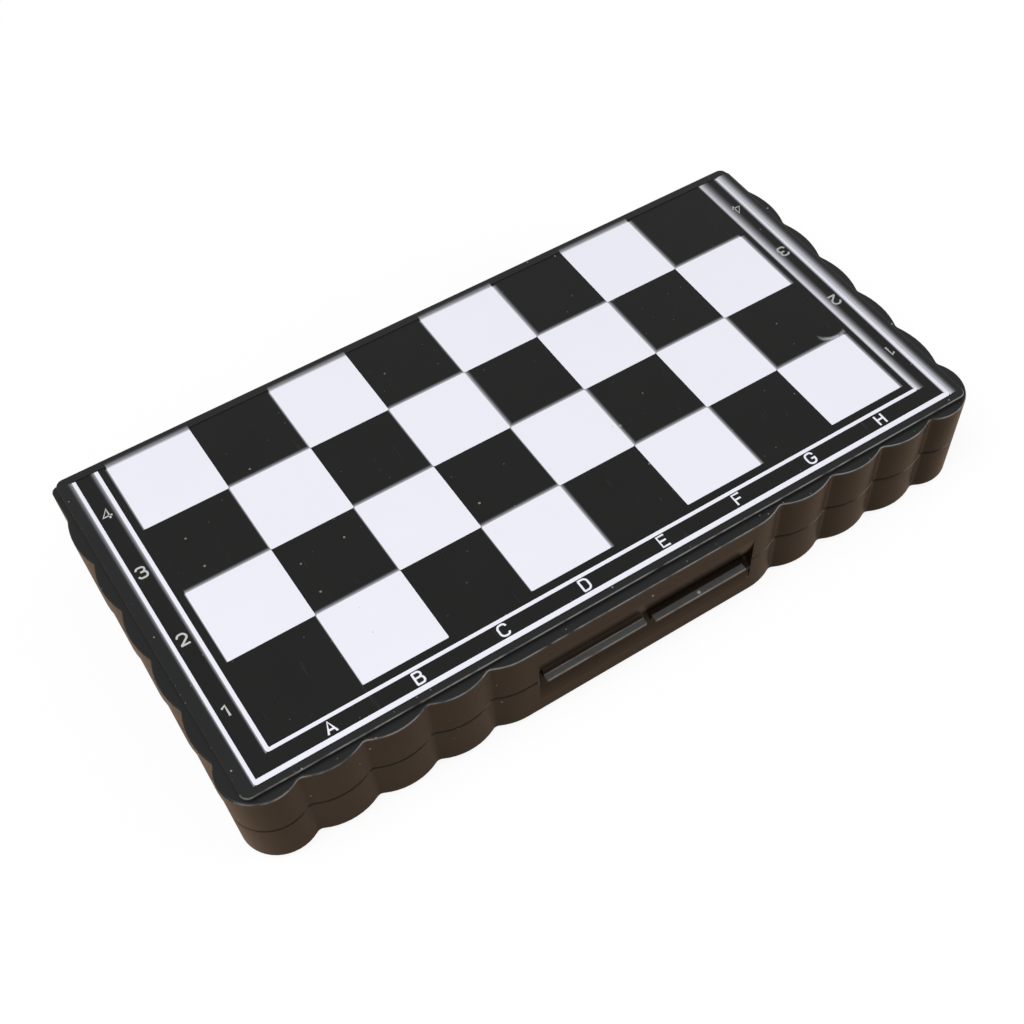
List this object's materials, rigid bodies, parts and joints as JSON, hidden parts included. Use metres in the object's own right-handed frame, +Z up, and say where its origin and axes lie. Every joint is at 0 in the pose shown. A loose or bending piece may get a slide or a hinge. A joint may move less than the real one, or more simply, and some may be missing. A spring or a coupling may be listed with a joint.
{
  "type": "folding magnetic chess set",
  "caption": "Hinged pocket chess case with scalloped walls, a half board on each outer face, steel sheets and magnetic men stowed inside.",
  "frame": {"origin": "middle of the closed object's box in X and Y, on the face it rests on", "axes": "+Z up, X along the files with file A at -X, Y from the front lips to the hinge"},
  "size_m": [0.1292, 0.0684, 0.0181],
  "materials": {
    "black_plastic": "satin black moulded polystyrene",
    "black_foil": "smooth black printing foil",
    "white_ink": "white printing ink with a soft smear on its outward edges",
    "steel_sheet": "bright tinned sheet",
    "steel_wire": "drawn wire",
    "magnet": "dark sintered magnet",
    "white_men_plastic": "satin ivory moulded plastic",
    "black_men_plastic": "satin black moulded plastic"
  },
  "bodies": {
    "lower_half": {"black_bishop_1": "black_men_plastic", "black_bishop_2": "black_men_plastic", "black_bishop_magnets": "magnet", "black_king": "black_men_plastic", "black_king_magnet": "magnet", "black_knight_1": "black_men_plastic", "black_knight_2": "black_men_plastic", "black_knight_magnets": "magnet", "black_pawn_1": "black_men_plastic", "black_pawn_2": "black_men_plastic", "black_pawn_3": "black_men_plastic", "black_pawn_4": "black_men_plastic", "black_pawn_5": "black_men_plastic", "black_pawn_6": "black_men_plastic", "black_pawn_7": "black_men_plastic", "black_pawn_8": "black_men_plastic", "black_pawn_magnets": "magnet", "black_queen": "black_men_plastic", "black_queen_magnet": "magnet", "black_rook_1": "black_men_plastic", "black_rook_2": "black_men_plastic", "black_rook_magnets": "magnet", "left_hinge_pin": "steel_wire", "lower_board_foil": "black_foil", "lower_case_half": "black_plastic", "lower_steel_sheet": "steel_sheet", "lower_white_print": "white_ink", "right_hinge_pin": "steel_wire", "white_bishop_1": "white_men_plastic", "white_bishop_2": "white_men_plastic", "white_bishop_magnets": "magnet", "white_king": "white_men_plastic", "white_king_magnet": "magnet", "white_knight_1": "white_men_plastic", "white_knight_2": "white_men_plastic", "white_knight_magnets": "magnet", "white_pawn_1": "white_men_plastic", "white_pawn_2": "white_men_plastic", "white_pawn_3": "white_men_plastic", "white_pawn_4": "white_men_plastic", "white_pawn_5": "white_men_plastic", "white_pawn_6": "white_men_plastic", "white_pawn_7": "white_men_plastic", "white_pawn_8": "white_men_plastic", "white_pawn_magnets": "magnet", "white_queen": "white_men_plastic", "white_queen_magnet": "magnet", "white_rook_1": "white_men_plastic", "white_rook_2": "white_men_plastic", "white_rook_magnets": "magnet"},
    "upper_half": {"upper_board_foil": "black_foil", "upper_case_half": "black_plastic", "upper_steel_sheet": "steel_sheet", "upper_white_print": "white_ink"}
  },
  "joints": [
    {"name": "case_hinge", "type": "hinge", "parent": "lower_half", "child": "upper_half", "pos_m": [0, 0.03207, 0.00905], "axis": [-1, 0, 0], "range_deg": [0, 180]}
  ]
}
